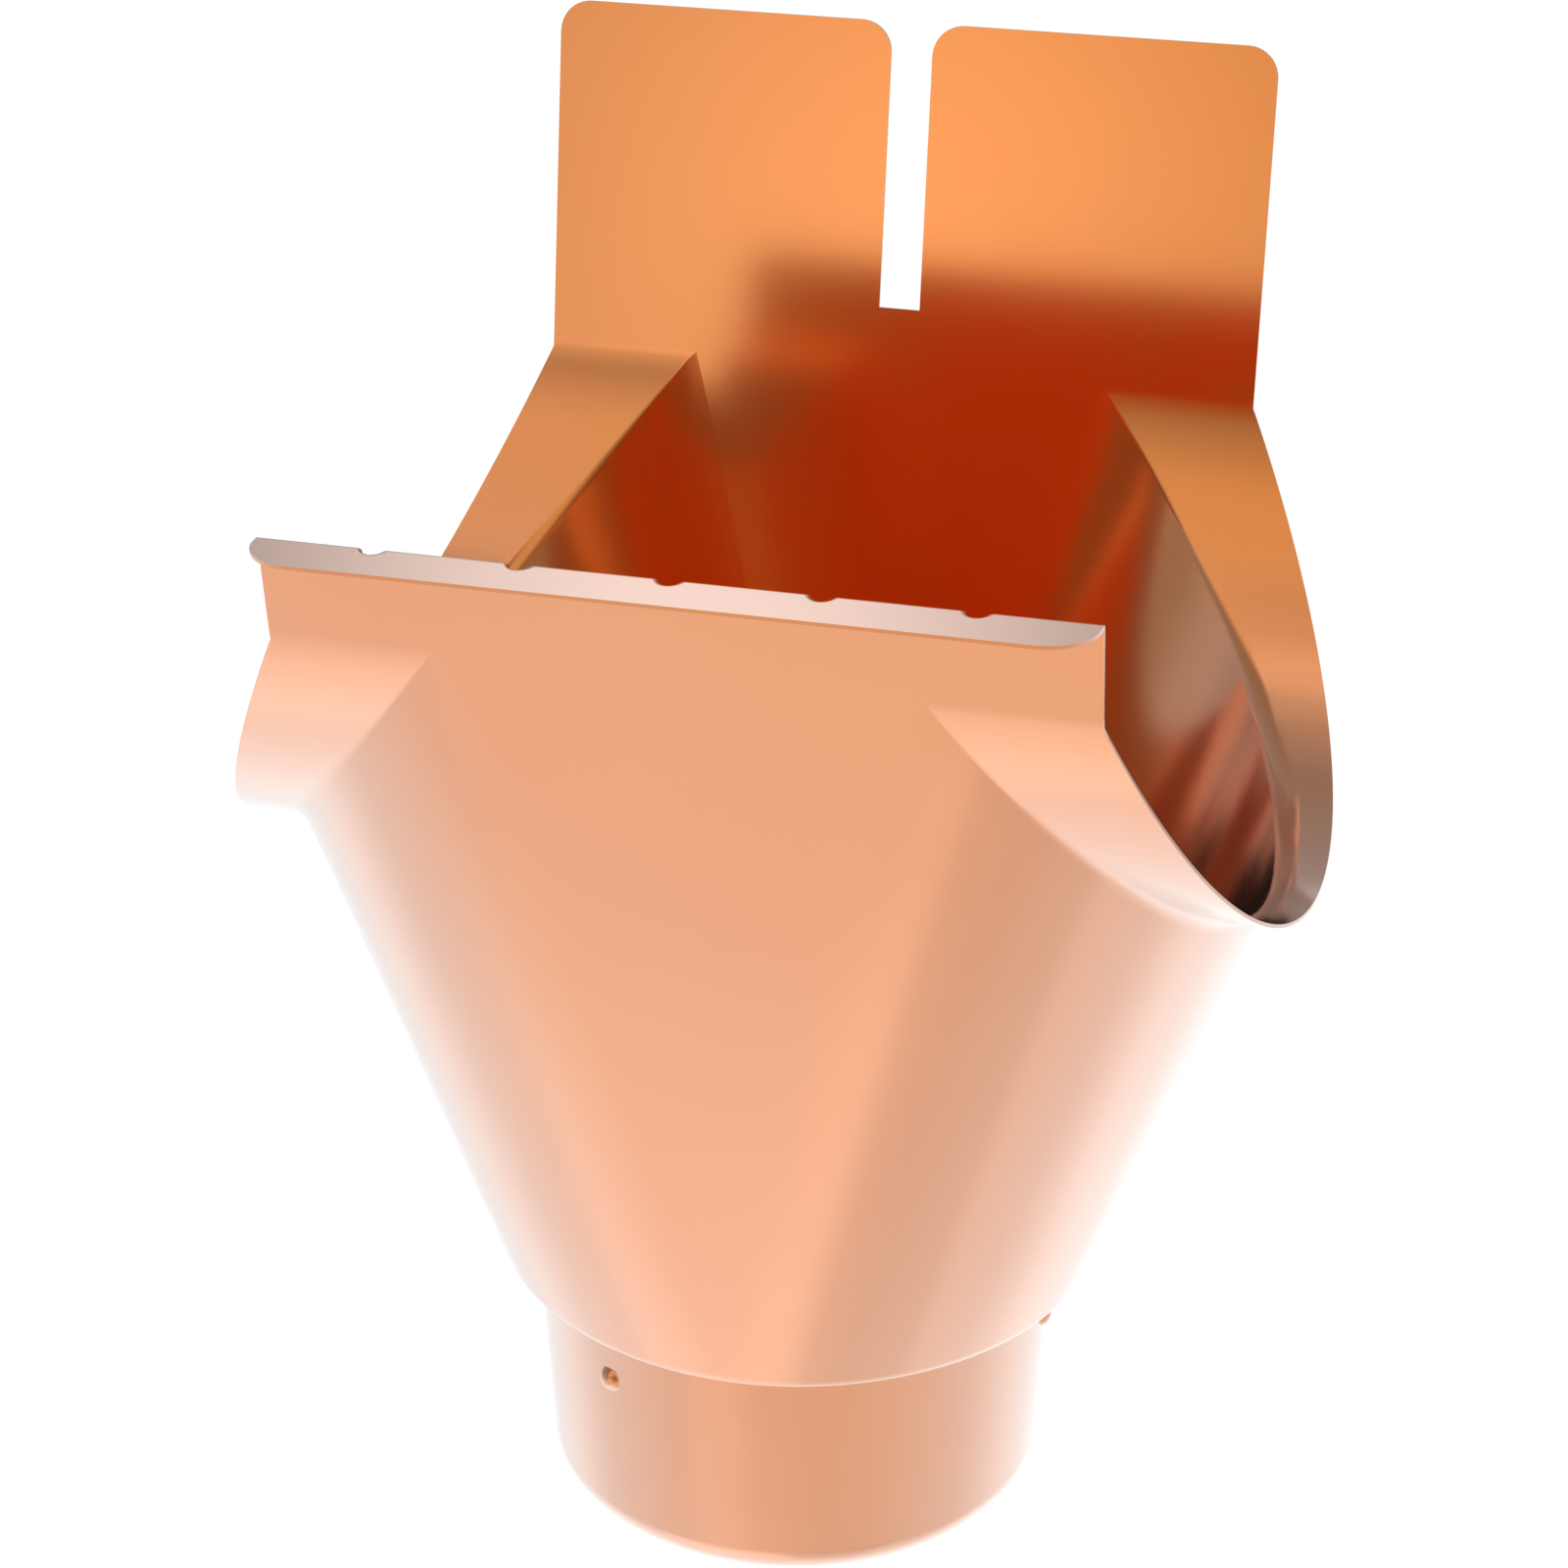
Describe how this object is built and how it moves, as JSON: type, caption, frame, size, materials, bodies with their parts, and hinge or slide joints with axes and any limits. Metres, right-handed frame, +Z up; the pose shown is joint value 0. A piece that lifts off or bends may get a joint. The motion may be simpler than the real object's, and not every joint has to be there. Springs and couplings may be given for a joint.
{
  "type": "gutter outlet",
  "caption": "Drop-in outlet for a half-round gutter: a drawn copper funnel with a half-round seat, front hook flange, slotted rear lugs and a tapered spigot.",
  "frame": {"origin": "centre of the spigot's lower rim, on the spigot's axis", "axes": "+Z up along the spigot's axis, +X along the gutter, -Y towards the front flange and +Y towards the rear lugs"},
  "size_m": [0.195, 0.1759, 0.2642],
  "materials": {
    "copper_sheet": "satin bare copper"
  },
  "bodies": {
    "root": {"outlet_body": "copper_sheet"}
  },
  "joints": []
}
